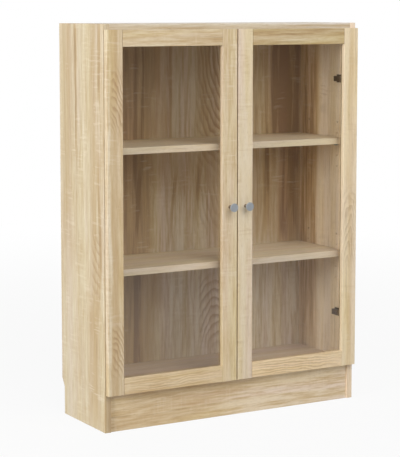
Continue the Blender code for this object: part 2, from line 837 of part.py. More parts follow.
def add_cup(name, level, side, body, material):
    cup_name = f"hinge_cup_{name}_{level}"
    height = HINGE_HEIGHTS[level]
    place = (door_x(side, CUP_EDGE_DISTANCE), DOOR_BACK - CUP_DEPTH, height)
    mesh = turned_mesh(cup_name, cup_profile())
    cup = add_piece(cup_name, mesh, place, body, material, turn=(-math.pi / 2, 0, 0))
    combine(cup, add_flange(name, level, side, body), "UNION")
    offset = CUP_EDGE_DISTANCE - CUP_PIN_EDGE_DISTANCE
    inner = CUP_RADIUS - CUP_WALL / 2
    chord = 2 * math.sqrt(inner**2 - offset**2)
    pin_name = f"cup_pin_{name}_{level}"
    mesh = rod_mesh(pin_name, CUP_PIN_RADIUS, chord, PIN_STEPS)
    combine(cup, add_helper(pin_name, mesh, cup_pin_place(side, height), body), "UNION")


def add_door(name, side, case, materials):
    """A door and the links that carry it: case, then links on the arm pins, then the door."""
    links = add_axis(f"links_{name}_axis", arm_pin_place(side, 0), case)
    door = add_axis(f"door_{name}_axis", cup_pin_place(side, 0), links)
    hinge_stile, meeting_stile = add_door_frame(name, side, door, materials["oak"])
    add_glass(name, side, door, materials["glass"])
    add_glazing_strips(name, side, door, materials["strip"])
    add_bumper(name, side, door, materials["bumper"])
    add_knob(name, side, door, meeting_stile, materials["knob"], materials["steel"])
    for level in HINGE_HEIGHTS:
        add_cup_pocket(name, level, side, door, hinge_stile)
        add_cup(name, level, side, door, materials["hinge"])
        add_link(name, level, side, links, materials["hinge"])
        add_arm(name, level, side, case, materials["hinge"])
        add_mounting_plate(name, level, side, case, materials["hinge"])


def build():
    clear_scene()
    materials = {
        "oak": make_material("oak_foil", linear(206, 184, 150), 0.45),
        "back": make_material("oak_foil_back", linear(206, 184, 150), 0.5),
        "glass": make_material("clear_glass", linear(225, 232, 228), 0.03, 0.0, 0.35),
        "strip": make_material("clear_strip", linear(200, 186, 160), 0.4),
        "bumper": make_material("soft_pad", linear(215, 212, 205), 0.7),
        "knob": make_material("knob_metal", linear(150, 153, 155), 0.42, 0.9),
        "steel": make_material("zinc_steel", linear(170, 172, 172), 0.35, 1.0),
        "hinge": make_material("hinge_bronze", linear(80, 64, 44), 0.4, 0.8),
    }
    case = add_axis("case_origin", (0, 0, 0))
    add_case(case, materials["oak"], materials["back"])
    for level in SHELF_TOPS:
        add_shelf(level, case, materials["oak"])
        add_shelf_pins(level, case, materials["steel"])
    for name, side in SIDES.items():
        add_door(name, side, case, materials)


build()
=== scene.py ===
"""Looks for the glass-door display cabinet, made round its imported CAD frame. Metres, +Z up."""

import math

import bpy
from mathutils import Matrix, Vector


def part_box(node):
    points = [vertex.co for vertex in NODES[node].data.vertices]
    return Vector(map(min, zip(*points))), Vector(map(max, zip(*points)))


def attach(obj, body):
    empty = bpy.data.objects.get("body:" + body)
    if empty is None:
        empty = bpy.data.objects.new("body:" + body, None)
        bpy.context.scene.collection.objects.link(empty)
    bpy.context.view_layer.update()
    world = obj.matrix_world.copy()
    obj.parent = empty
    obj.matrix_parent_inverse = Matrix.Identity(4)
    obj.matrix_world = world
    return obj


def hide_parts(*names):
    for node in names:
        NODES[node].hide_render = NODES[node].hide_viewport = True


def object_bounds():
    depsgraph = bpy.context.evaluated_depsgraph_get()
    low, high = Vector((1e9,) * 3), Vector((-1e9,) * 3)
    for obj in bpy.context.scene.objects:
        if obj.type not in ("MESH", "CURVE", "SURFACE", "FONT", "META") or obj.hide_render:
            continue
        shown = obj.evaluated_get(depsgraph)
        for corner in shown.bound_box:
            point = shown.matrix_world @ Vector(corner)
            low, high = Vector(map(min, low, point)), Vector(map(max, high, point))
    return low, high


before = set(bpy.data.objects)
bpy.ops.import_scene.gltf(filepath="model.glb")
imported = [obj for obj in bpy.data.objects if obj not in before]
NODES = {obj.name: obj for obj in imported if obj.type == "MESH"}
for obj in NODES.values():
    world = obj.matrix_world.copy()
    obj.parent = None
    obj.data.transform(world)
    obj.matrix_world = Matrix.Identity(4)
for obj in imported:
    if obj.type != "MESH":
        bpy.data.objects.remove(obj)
CAD_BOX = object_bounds()

# View of the photograph, which is 400 by 457 pixels
PHOTO_HEIGHT_PX = 457
FOCAL_LENGTH_PX = 1610.3
SENSOR = 36.0
CAMERA_PLACE = (-2.2900, -3.8641, 1.1230)
CAMERA_TURN = math.radians(30.16)
CAMERA_DIP = math.radians(5.98)
CAMERA_SHIFT_Y = -0.11
CAMERA_REACH = 200

# Studio. The shares of the lamps and the sky are of a plain level of 1. A lamp's turn is from
# straight ahead of the doors, to the right, and turn and rise are in degrees
LAMPS = {
    "key": {"turn": -77, "rise": 11, "distance": 4.5, "size": 1.2, "share": 0.645},
    "front": {"turn": 2, "rise": 38, "distance": 4.0, "size": 3.8, "share": 0.55},
}
SKY_SHARE = 0.23
SKY_RISE = 0.26
SKY_LEAN = 0.06
BACKDROP_EDGE = 0.25
MIRRORED_ROOM = 0.14
FLOOR_SIZE = 400.0
FLOOR_WHITE = 0.92
FLOOR_FADE = (1.2, 4.0)
MIRRORED_FLOOR = 0.72
MIRRORED_FLOOR_END = (0.6, 5.8)
FLOOR_GREY = (205, 205, 205)
WHITE = (1, 1, 1, 1)

# Small fittings of the doors and the case
KNOB_NECK = 0.0045
KNOB_FACE = 0.0118
KNOB_RIM = 0.0035
KNOB_ROUND = 0.0008
KNOB_DISH = 0.0005
KNOB_DISH_RINGS = ((0.7, 0.80), (1.0, 0.45))
KNOB_FLARE = 2.2
KNOB_FLARE_STEPS = 10
KNOB_SCREW_SHANK = 0.002
KNOB_SCREW_HEAD = 0.004
KNOB_SCREW_HEAD_HEIGHT = 0.0022
SCREW_POINT = 0.6
SCREW_HEAD_ROUND = 0.75
RECESS_WIDTH = 0.0009
RECESS_REACH = 1.25
RECESS_DEPTH = 0.6
SEAT_STEP = 0.00001
CUP_SCREW_BESIDE = 0.0055
CUP_SCREW_ABOVE = 0.0224
PLATE_SCREW_ABOVE = 0.00865
PLATE_SCREW_SETBACK = 0.044
ARM_SCREW_SETBACKS = (0.037, 0.050)
PLATE_THICKNESS = 0.002
ARM_BACK_STEP = 0.0015
NAIL_COUNT = 6
NAIL_SPAN = 0.70
NAIL_LENGTH = 0.002
NAIL_POINT = 0.0006
NAIL_SHANK = 0.0008
NAIL_HEAD = 0.0021
NAIL_HEAD_HEIGHT = 0.0006
NAIL_HEAD_ROUND = 0.0004

# Small screws of the hinges: length under the head, head radius, head height, shank radius
CUP_SCREW = (0.0004, 0.0031, 0.0009, 0.0016)
PLATE_SCREW = (0.0004, 0.0026, 0.0010, 0.0015)
ARM_SCREW = (0.0004, 0.0028, 0.0008, 0.0016)

# Plastics and metals: display colour, roughness, share of metal. The knob's neck carries painted
# shade from one depth to another, in a darker colour, where its shade falls
FITTINGS = {
    "strip_plastic": ((176, 152, 118), 0.45),
    "pad_rubber": ((205, 201, 190), 0.7),
    "knob_metal": ((168, 173, 178), 0.42, 0.3, (-0.1515, -0.1440, (118, 104, 88))),
    "zinc_steel": ((176, 178, 178), 0.32, 1.0),
    "hinge_bronze": ((112, 92, 66), 0.42, 0.6),
}
GLASS_COLOUR = (250, 250, 248)
STRAIGHT_COLOUR = (247, 247, 245)
DARKER_STOPS = (0.3, 0.7)
SPECKLES_DARKER = 0.92
SPECKLES = 900.0
METAL_BUMP = {"Strength": 0.1, "Distance": 0.0001}
ROUGHNESS_SWING = 0.12

# Oak foil, as display colours
OAK_BROWN = (152, 121, 86)
OAK_RED_BROWN = (156, 117, 77)
OAK_DARK = (190, 161, 119)
OAK_MID = (208, 187, 152)
OAK_LIGHT = (219, 202, 172)
OAK_PALE = (230, 217, 196)
OAK_STOPS = [
    (0.0, OAK_BROWN),
    (0.24, OAK_DARK),
    (0.44, OAK_MID),
    (0.6, OAK_LIGHT),
    (0.86, OAK_PALE),
]
HARDBOARD = (186, 160, 126)
HARDBOARD_DARKER = 0.84
ROSE_TINT = (1.0, 0.95, 1.10, 1.0)
STRAW_TINT = (1.0, 0.97, 0.76, 1.0)

# Figure of the foil: how many a metre across and along the board, detail, roughness
FIGURE = {
    "drift": (7, 2.2, 1.0),
    "uneven": (38, 15.0, 3.0),
    "bands": (32, 0.9, 2.5, 0.55),
    "stripe": (75, 4.0, 3.0, 0.62),
    "fibres": (160, 12.0, 3.0, 0.66),
    "streak": (190, 5.0, 2.0, 0.5),
    "pores": (1300, 60.0, 1.0, 0.5),
    "hue": (24, 1.4, 2.0, 0.5),
    "saw": (16, 130.0, 2.0),
    "saw_area": (18, 11.0, 1.0),
}

# How much each part of the figure does to the foil's shade, and how far it wanders in metres,
# how ragged a stripe is, and how far each part stands out or lies deep
BANDS_SHARE = 0.40
STRIPE_SHARE = 0.38
FIBRES_SHARE = 0.85
DRIFT = 0.014
EDGE_DRIFT = 0.012
EDGE_FRAY = 0.006
EDGE_DRIFT_ALONG = 0.10
RAGGED_STRIPE = 0.6
RAGGED_FIBRES = 0.4
RAGGED_SWING = 1.3
RAGGED_LEAST = 0.35
FIBRES_HEIGHT = 0.4
PORES_HEIGHT = -0.6
SAW_CUTS_HEIGHT = -0.5
PORE_DEPTH = 0.30
SAW_CUT_DEPTH = 0.32
SAW_CREST_DEPTH = 0.40
FOIL_ROUGHNESS = 0.38
FOIL_BUMP = {"Strength": 0.25, "Distance": 0.0002}
CHIPS = 600.0
CHIPS_DETAIL = 3.0
CHIPS_ROUGHNESS = 0.7
BARE_EDGE = 0.0002
LATE_WOOD_RISE = (0.25, 0.85)
LATE_WOOD_FALL = (0.88, 1.0)
ARCH_WOBBLE = 0.016
KNOT_WOBBLE = 5.0

# Between which values of its noise each part of the figure comes in
FIGURE_EDGES = {
    "ragged": (0.40, 0.60),
    "tinted": (0.46, 0.62),
    "streak": (0.60, 0.72),
    "pale band": (0.40, 0.62),
    "pore": (0.30, 0.40),
    "saw area": (0.50, 0.62),
    "saw cut": (0.54, 0.66),
    "saw crest": (0.34, 0.46),
}

# How the foil of each board looks. Its grain runs up, unless it is said to run along X or up a
# side panel. Log is a place in the log, which nothing else shares. Tone lightens the foil, tint
# turns its colour, spread gives it contrast, rose and straw tint it in places, streaks are fine
# brown lines and marks are the saw's cross lines. From the depth bare_from on, it is hardboard.
# Stripes, arches, sawn patches and knots lie at a place across and along the board, half as wide
# and long as their half. A stripe's lift lightens it, and a lean slants it. The arches of one
# family are drawn round a heart further out, and the less their lean, the longer they are.
BOARDS = {
    "side_panel_left": {
        "grain": "side",
        "log": (1.3, 4.1, 0.4),
        "tone": -0.06,
        "tint": (0.985, 1.01, 1.04),
        "spread": 0.72,
        "rose": 0.35,
        "straw": 0.3,
        "marks": 0.6,
        "stripes": [
            {"at": (0.112, 0.80), "half": (0.026, 0.34), "lift": -0.14},
            {"at": (0.054, 0.92), "half": (0.005, 0.16), "lift": -0.24},
            {"at": (0.012, 0.62), "half": (0.036, 0.60), "lift": 0.02},
            {"at": (-0.048, 0.80), "half": (0.018, 0.40), "lift": -0.14},
            {"at": (-0.085, 1.00), "half": (0.008, 0.10), "lift": -0.20},
            {"at": (-0.083, 0.60), "half": (0.007, 0.14), "lean": 0.06, "lift": -0.18},
            {"at": (-0.072, 0.35), "half": (0.010, 0.12), "lean": -0.10, "lift": -0.15},
            {"at": (-0.103, 0.60), "half": (0.007, 0.50), "lift": 0.10},
            {"at": (-0.050, 0.18), "half": (0.030, 0.16), "lift": -0.16},
            {"at": (-0.1111, 0.05), "half": (0.004, 0.055), "lift": -0.20},
        ],
        "arches": [
            {
                "at": (-0.064, 0.44),
                "half": (0.024, 0.085),
                "heart": (-0.098, 0.62),
                "lean": 0.50,
                "spacing": 0.014,
                "depth": 0.40,
            },
        ],
        "sawn": [
            {"at": (0.058, 0.76), "half": (0.020, 0.040), "depth": 0.8},
            {"at": (-0.055, 0.275), "half": (0.030, 0.014), "depth": 1.0},
            {"at": (-0.060, 0.10), "half": (0.040, 0.016), "depth": 1.0},
        ],
    },
    "side_panel_right": {
        "grain": "side",
        "log": (9.7, 2.3, 5.1),
        # Tone and tint lift the whole board to the level of its lit inner face: partly painted
        # light.
        "tone": 0.26,
        "tint": (1.06, 1.035, 1.025),
        "spread": 1.3,
        "rose": 0.1,
        "marks": 0.5,
        "stripes": [
            # Painted shade: the rear part of the inner face is darker, where the light from the
            # left doesn't reach.
            {"at": (0.090, 0.60), "half": (0.045, 0.60), "lift": -0.46},
            # Painted light: the lower front part is paler, where light falls in through the right
            # door.
            {"at": (-0.040, 0.36), "half": (0.090, 0.36), "lift": 0.08},
            {"at": (-0.1111, 0.05), "half": (0.004, 0.055), "lift": -0.12},
        ],
        "sawn": [{"at": (0.022, 0.905), "half": (0.022, 0.040), "depth": 1.0}],
        "knots": [{"at": (0.022, 0.835), "half": (0.016, 0.012), "spacing": 0.004, "depth": 0.4}],
    },
    "top_panel": {
        "grain": "X",
        "log": (3.1, 7.7, 2.9),
        "tone": 0.12,
        "tint": (1.0, 1.03, 1.10),
        "rose": 0.2,
        "straw": 0.2,
        "stripes": [{"at": (1.074, 0.0), "half": (0.007, 0.50), "lift": -0.28}],
    },
    "bottom_panel": {
        "grain": "X",
        "log": (5.9, 1.9, 8.3),
        "tone": 0.02,
        "tint": (1.0, 0.985, 1.04),
        "spread": 0.7,
    },
    "plinth_board": {
        "grain": "X",
        "log": (2.2, 6.5, 7.4),
        "tone": -0.05,
        "tint": (1.01, 0.99, 0.96),
        "straw": 0.5,
        "stripes": [
            {"at": (0.05, 0.30), "half": (0.06, 0.30), "lift": 0.30},
            {"at": (0.085, 0.10), "half": (0.007, 0.14), "lift": -0.22},
            # Painted shade: dark lines at the plinth's ends, where it meets the side panels.
            {"at": (0.05, -0.3825), "half": (0.09, 0.0022), "lift": -0.5},
            {"at": (0.05, 0.3825), "half": (0.09, 0.0022), "lift": -0.5},
        ],
    },
    "back_panel": {
        "log": (6.6, 3.8, 1.7),
        "bare_from": 0.1437,
        "tone": -0.12,
        "tint": (0.985, 0.985, 1.0),
        "spread": 0.72,
        "rose": 0.6,
        "streaks": 0.45,
        "marks": 0.5,
        "stripes": [
            # Painted shade: the back panel's left part is darker, where the door's frame and side
            # panel shade it.
            {"at": (-0.175, 0.60), "half": (0.050, 0.60), "lift": -0.20},
            {"at": (-0.176, 0.90), "half": (0.006, 0.24), "lift": -0.16},
            {"at": (-0.151, 0.92), "half": (0.004, 0.20), "lift": -0.16},
            {"at": (-0.108, 0.98), "half": (0.014, 0.09), "lift": -0.14},
            {"at": (-0.061, 0.90), "half": (0.005, 0.20), "lift": -0.16},
            # Painted light: a paler patch low in the top compartment, where light falls in through
            # the glass.
            {"at": (-0.010, 0.84), "half": (0.045, 0.12), "lift": 0.10},
            {"at": (-0.055, 0.56), "half": (0.005, 0.10), "lean": 0.12, "lift": -0.26},
            {"at": (-0.170, 0.53), "half": (0.006, 0.11), "lean": 0.08, "lift": -0.16},
            {"at": (0.030, 0.60), "half": (0.007, 0.09), "lean": 0.10, "lift": -0.22},
            # Painted light: paler patches low in the middle and bottom compartments, where light
            # falls in.
            {"at": (-0.020, 0.50), "half": (0.090, 0.10), "lift": 0.20},
            {"at": (0.010, 0.22), "half": (0.110, 0.16), "lift": 0.22},
            {"at": (0.290, 0.20), "half": (0.120, 0.20), "lift": 0.30},
            {"at": (-0.170, 0.25), "half": (0.010, 0.14), "lift": -0.20},
            {"at": (-0.105, 0.33), "half": (0.020, 0.06), "lift": -0.18},
            {"at": (0.263, 0.85), "half": (0.006, 0.24), "lift": -0.24},
            {"at": (0.286, 0.86), "half": (0.007, 0.22), "lift": -0.24},
            # Painted shade: the right rear corner and the line along it are darker, where shade
            # falls.
            {"at": (0.335, 0.94), "half": (0.044, 0.20), "lift": -0.55},
            {"at": (0.345, 0.60), "half": (0.036, 0.16), "lift": -0.30},
            {"at": (0.372, 0.94), "half": (0.004, 0.14), "lift": -0.35},
            {"at": (0.262, 0.60), "half": (0.010, 0.14), "lift": -0.20},
        ],
        "arches": [
            {
                "at": (0.110, 0.90),
                "half": (0.070, 0.20),
                "heart": (0.142, 1.03),
                "lean": 0.42,
                "spacing": 0.0125,
                "depth": 0.75,
            },
            {
                "at": (0.070, 0.25),
                "half": (0.034, 0.095),
                "heart": (0.092, 0.10),
                "lean": 0.42,
                "spacing": 0.011,
                "depth": 0.60,
            },
            {
                "at": (0.065, 0.56),
                "half": (0.040, 0.07),
                "heart": (0.150, 0.66),
                "lean": 0.5,
                "spacing": 0.014,
                "depth": 0.30,
            },
        ],
        "sawn": [
            {"at": (-0.140, 0.69), "half": (0.016, 0.020), "depth": 1.0},
            {"at": (0.085, 0.62), "half": (0.050, 0.016), "depth": 1.0},
            {"at": (-0.085, 0.575), "half": (0.020, 0.014), "depth": 0.8},
            {"at": (-0.020, 0.495), "half": (0.022, 0.020), "depth": 0.8},
            {"at": (-0.035, 0.34), "half": (0.022, 0.026), "depth": 0.9},
            {"at": (-0.015, 0.25), "half": (0.050, 0.030), "depth": 0.9},
            {"at": (0.330, 0.60), "half": (0.055, 0.022), "depth": 0.9},
        ],
    },
    "shelf_lower": {
        "grain": "X",
        "log": (4.8, 8.6, 3.3),
        "tone": 0.20,
        "tint": (1.02, 1.01, 0.98),
        "rose": 0.6,
        "stripes": [{"at": (0.415, 0.22), "half": (0.030, 0.20), "lift": 0.16}],
    },
    "shelf_upper": {
        "grain": "X",
        "log": (7.2, 5.4, 6.8),
        "tone": 0.32,
        "tint": (1.04, 1.02, 0.98),
        "stripes": [{"at": (0.755, 0.22), "half": (0.030, 0.20), "lift": 0.14}],
    },
    "door_left_hinge_stile": {
        "log": (8.1, 0.7, 4.9),
        "tone": -0.09,
        "spread": 0.75,
        "rose": 0.2,
        "straw": 0.55,
        "marks": 0.5,
        "stripes": [
            {"at": (-0.395, 0.60), "half": (0.006, 0.60), "lift": 0.08},
            {"at": (-0.378, 0.60), "half": (0.010, 0.60), "lift": -0.12},
            {"at": (-0.357, 0.60), "half": (0.006, 0.60), "lift": -0.02},
        ],
        "arches": [
            {
                "at": (-0.368, 0.885),
                "half": (0.017, 0.075),
                "heart": (-0.410, 0.62),
                "lean": 0.28,
                "spacing": 0.0054,
                "depth": 0.52,
            },
            {
                "at": (-0.368, 0.225),
                "half": (0.017, 0.065),
                "heart": (-0.410, -0.05),
                "lean": 0.28,
                "spacing": 0.0054,
                "depth": 0.52,
            },
        ],
        "sawn": [
            {"at": (-0.398, 0.96), "half": (0.008, 0.07), "depth": 0.9},
            {"at": (-0.398, 0.50), "half": (0.008, 0.38), "depth": 0.6},
            {"at": (-0.365, 0.74), "half": (0.012, 0.016), "depth": 0.6},
        ],
    },
    "door_left_meeting_stile": {
        "log": (0.6, 9.2, 6.1),
        "tone": 0.04,
        "tint": (1.0, 0.995, 0.96),
        "rose": 0.6,
        "marks": 0.8,
        "sawn": [{"at": (-0.030, 0.91), "half": (0.018, 0.035), "depth": 0.8}],
    },
    "door_left_top_rail": {"grain": "X", "log": (5.3, 2.8, 9.6), "tone": -0.03},
    "door_left_bottom_rail": {
        "grain": "X",
        "log": (1.9, 5.7, 3.6),
        "tone": 0.05,
        "tint": (1.015, 0.99, 0.945),
        "straw": 0.6,
        "arches": [
            {
                "at": (0.124, -0.20),
                "half": (0.020, 0.12),
                "heart": (0.160, -0.30),
                "lean": 0.08,
                "spacing": 0.0060,
                "depth": 0.35,
            },
        ],
    },
    "door_right_meeting_stile": {
        "log": (3.7, 8.9, 1.1),
        "tone": 0.14,
        "tint": (1.0, 0.995, 0.98),
        "spread": 0.7,
        "rose": 0.6,
        "marks": 0.8,
        "sawn": [{"at": (0.022, 1.00), "half": (0.018, 0.05), "depth": 0.7}],
    },
    "door_right_hinge_stile": {
        "log": (9.4, 6.3, 7.9),
        "tone": 0.30,
        "tint": (1.015, 0.99, 0.93),
        "rose": 0.3,
        "straw": 0.5,
        "spread": 0.9,
        "marks": 0.5,
        "stripes": [
            {"at": (0.358, 0.60), "half": (0.006, 0.60), "lift": 0.18},
            {"at": (0.376, 0.60), "half": (0.007, 0.60), "lift": -0.20},
            {"at": (0.395, 0.60), "half": (0.005, 0.60), "lift": 0.16},
        ],
        "arches": [
            {
                "at": (0.375, 0.50),
                "half": (0.020, 0.10),
                "heart": (0.372, 0.25),
                "lean": 0.12,
                "spacing": 0.0046,
                "depth": 0.32,
            },
        ],
    },
    "door_right_top_rail": {
        "grain": "X",
        "log": (6.1, 1.4, 5.6),
        "tone": -0.16,
        "tint": (0.98, 0.995, 0.96),
        "straw": 0.6,
        "streaks": 0.8,
    },
    "door_right_bottom_rail": {
        "grain": "X",
        "log": (2.7, 3.2, 8.8),
        "tone": 0.28,
        "tint": (1.035, 0.99, 0.905),
        "spread": 1.2,
        "straw": 0.8,
        "arches": [
            {
                "at": (0.124, 0.19),
                "half": (0.020, 0.13),
                "heart": (0.095, 0.10),
                "lean": 0.10,
                "spacing": 0.0070,
                "depth": 0.45,
            },
        ],
    },
}


def linear(red, green, blue):
    """A display colour, 0 to 255, as the linear values that a shader takes."""
    parts = []
    for value in (red, green, blue):
        share = value / 255
        parts.append(share / 12.92 if share <= 0.04045 else ((share + 0.055) / 1.055) ** 2.4)
    return (*parts, 1.0)


def darker_to(colour, share):
    """Ramp stops from a darker share of a display colour up to the colour itself."""
    darker = [share * part for part in colour]
    return list(zip(DARKER_STOPS, (linear(*darker), linear(*colour))))


# Node building


class Number:
    """A number socket that takes part in plain sums, each of which adds its Math node."""

    def __init__(self, finish, socket):
        self.finish = finish
        self.socket = socket

    def sum_of(self, operation, *terms):
        return self.finish.node("Math", {"operation": operation}, dict(enumerate(terms)))

    def __add__(self, other):
        return self.sum_of("ADD", self, other)

    __radd__ = __add__

    def __sub__(self, other):
        return self.sum_of("SUBTRACT", self, other)

    def __rsub__(self, other):
        return self.sum_of("SUBTRACT", other, self)

    def __mul__(self, other):
        return self.sum_of("MULTIPLY", self, other)

    __rmul__ = __mul__

    def __truediv__(self, other):
        return self.sum_of("DIVIDE", self, other)

    def __pow__(self, other):
        return self.sum_of("POWER", self, other)

    def __abs__(self):
        return self.sum_of("ABSOLUTE", self)


class Finish:
    """The node tree of one material or of the world, and the few ways to add to it."""

    def __init__(self, tree):
        self.tree = tree
        self.tree.nodes.clear()

    def node(self, kind, settings=None, sockets=None, output=0):
        """Adds a shader node, sets it up, fills or links its inputs, and gives one output.

        Inputs and outputs go by name, or by number where names repeat.
        """
        made = self.tree.nodes.new(f"ShaderNode{kind}")
        for name, value in (settings or {}).items():
            setattr(made, name, value)
        for name, value in (sockets or {}).items():
            if isinstance(value, Number):
                self.tree.links.new(value.socket, made.inputs[name])
            else:
                made.inputs[name].default_value = value
        return Number(self, made.outputs[output])

    def ramp(self, factor, stops):
        """A colour ramp with stops of (place, linear colour)."""
        colour = self.node("ValToRGB", sockets={"Fac": factor})
        elements = colour.socket.node.color_ramp.elements
        while len(elements) < len(stops):
            elements.new(0.5)
        for element, (place, value) in zip(elements, stops):
            element.position = place
            element.color = value
        return colour

    def blend(self, factor, first, second, mode="MIX"):
        """One colour over another by a factor."""
        settings = {"data_type": "RGBA", "blend_type": mode, "clamp_factor": True}
        return self.node("Mix", settings, {0: factor, 6: first, 7: second}, output=2)

    def over(self, colour, factor, display_colour):
        """A display colour laid over a colour by a factor."""
        return self.blend(factor, colour, linear(*display_colour))

    def between(self, value, low, high):
        """0 below low, 1 above high, and a smooth step from one to the other."""
        return self.node(
            "MapRange",
            {"interpolation_type": "SMOOTHSTEP"},
            {"Value": value, "From Min": low, "From Max": high},
        )

    def noise(self, place, detail=2.0, roughness=0.5, output=0):
        sockets = {"Vector": place, "Scale": 1.0, "Detail": detail, "Roughness": roughness}
        return self.node("TexNoise", sockets=sockets, output=output)

    def larger(self, first, second):
        return self.node("Math", {"operation": "MAXIMUM"}, {0: first, 1: second})

    def parts(self, vector):
        """The X, Y and Z of a vector, or the like of a colour."""
        split = self.node("SeparateXYZ", sockets={0: vector})
        return [Number(self, output) for output in split.socket.node.outputs]

    def object_place(self):
        return self.node("TexCoord", output="Object")

    def is_ray(self, kind):
        return self.node("LightPath", output=f"Is {kind} Ray")

    def end_with(self, kind, shader):
        end = self.tree.nodes.new(f"ShaderNode{kind}")
        self.tree.links.new(shader.socket, end.inputs["Surface"])

    def surface(self, shader):
        self.end_with("OutputMaterial", shader)


def new_finish(name):
    material = bpy.data.materials.new(name)
    material.use_nodes = True
    return material, Finish(material.node_tree)


def paint(material, *names):
    """Gives a material to CAD nodes."""
    for name in names:
        mesh = NODES[name].data
        mesh.materials.clear()
        mesh.materials.append(material)


# Oak


def stretched(finish, across, through, along, scale, length_scale):
    """A place drawn out along the grain, for noise that is fine across it and long along it."""
    sockets = {0: across * scale, 1: through * scale, 2: along * length_scale}
    return finish.node("CombineXYZ", sockets=sockets)


def grain_axes(finish, grain):
    """Across, through and along a board, in metres."""
    x, y, z = finish.parts(finish.object_place())
    return {"Z": (x, y, z), "X": (z, y, x), "side": (y, x, z)}[grain]


def patch(finish, across, along, at, half, lean=0.0, soft=0.45):
    """1 inside a patch of the board and 0 outside it, with a soft edge."""
    aside = abs(across - at[0] - (along - at[1]) * lean) / half[0]
    beyond = abs(along - at[1]) / half[1]
    return 1 - finish.between(finish.larger(aside, beyond), 1 - soft, 1 + soft)


def late_wood(finish, distance, spacing, wobble):
    """Thin dark lines of the late wood, one every spacing from the heart."""
    turn = finish.node("Math", {"operation": "FRACT"}, {0: distance / spacing + wobble})
    return finish.between(turn, *LATE_WOOD_RISE) * (1 - finish.between(turn, *LATE_WOOD_FALL))


def arch_lines(finish, across, along, uneven, at, half, heart, lean, spacing, depth):
    """Ring lines that arch over the patch, as on a board cut beside the heart."""
    aside = across - heart[0]
    rise = (along - heart[1]) * lean
    distance = (aside * aside + rise * rise) ** 0.5
    lines = late_wood(finish, distance, spacing, uneven * (ARCH_WOBBLE / spacing))
    return lines * patch(finish, across, along, at, half) * depth


def knot_lines(finish, across, along, uneven, at, half, spacing, depth):
    """Lines that swirl round a knot."""
    aside = across - at[0]
    rise = (along - at[1]) * (half[0] / half[1])
    distance = (aside * aside + rise * rise) ** 0.5
    lines = late_wood(finish, distance, spacing, uneven * KNOT_WOBBLE)
    return lines * patch(finish, across, along, at, half, soft=0.6) * depth


def within(finish, value, edge):
    return finish.between(value, *FIGURE_EDGES[edge])


def figure_noise(finish, place, kind, output=0):
    """The noise of one part of the figure, at a place across, through and along the log."""
    across_scale, along_scale, *shape = FIGURE[kind]
    drawn_out = stretched(finish, *place, across_scale, along_scale)
    return finish.noise(drawn_out, *shape, output=output)


def foil_figure(finish, board, log):
    """The noise of every part of the figure. All but the first two drift across the board."""
    across, through, along = (axis + start for axis, start in zip(board, log))
    still = (across, through, along)
    figure = {kind: figure_noise(finish, still, kind) for kind in ("drift", "uneven")}
    drifting = (across + (figure["drift"] - 0.5) * DRIFT, through, along)
    for kind in ("bands", "stripe", "fibres", "streak", "pores", "saw", "saw_area"):
        figure[kind] = figure_noise(finish, drifting, kind)
    figure["hue"] = figure_noise(finish, drifting, "hue", output="Color")
    return figure


def wandering(board, figure):
    """Across and along a board for a patch, so that its edges wander with the grain."""
    drift = figure["drift"] - 0.5
    across = board[0] + drift * EDGE_DRIFT + (figure["uneven"] - 0.5) * EDGE_FRAY
    return across, board[2] + drift * EDGE_DRIFT_ALONG


def foil_shade(finish, figure, place, tone, spread, stripes):
    """How light the foil is, from 0 for its brown up to 1."""
    stripe, fibres = figure["stripe"], figure["fibres"]
    shade = (
        (figure["bands"] - 0.5) * (BANDS_SHARE * spread)
        + (stripe - 0.5) * (STRIPE_SHARE * spread)
        + (fibres - 0.5) * (FIBRES_SHARE * spread)
        + (0.5 + tone)
    )
    ragged = within(finish, stripe * RAGGED_STRIPE + fibres * RAGGED_FIBRES, "ragged")
    ragged = ragged * RAGGED_SWING + RAGGED_LEAST
    for facts in stripes:
        area = {key: facts[key] for key in facts if key != "lift"}
        shade = shade + patch(finish, *place, **area) * facts["lift"] * ragged
    return shade


def foil_colour(finish, figure, shade, tint, rose, straw):
    """The foil's ramp of colours, turned by the board's tint, with rosy and straw places."""
    stops = []
    for place, stop_colour in OAK_STOPS:
        stops.append((place, linear(*(part * turn for part, turn in zip(stop_colour, tint)))))
    colour = finish.ramp(shade, stops)
    rosy, strawy, _ = finish.parts(figure["hue"])
    colour = finish.blend(within(finish, rosy, "tinted") * rose, colour, ROSE_TINT, "MULTIPLY")
    strawy = within(finish, strawy, "tinted")
    return finish.blend(strawy * straw, colour, STRAW_TINT, "MULTIPLY")


def sawn_places(finish, figure, place, marks, sawn):
    """How strongly the saw's cross lines show: a little here and there, more in the patches."""
    sawing = within(finish, figure["saw_area"], "saw area") * marks
    for facts in sawn:
        area = patch(finish, *place, facts["at"], facts["half"]) * facts["depth"]
        sawing = finish.larger(sawing, area)
    return sawing


def bare_behind(finish, colour, board, bare_from):
    """Hardboard in place of the foil, from a depth on."""
    chips = finish.noise(stretched(finish, *board, CHIPS, CHIPS), CHIPS_DETAIL, CHIPS_ROUGHNESS)
    bare = finish.ramp(chips, darker_to(HARDBOARD, HARDBOARD_DARKER))
    behind = finish.between(board[1], bare_from - BARE_EDGE, bare_from)
    return finish.blend(behind, colour, bare)


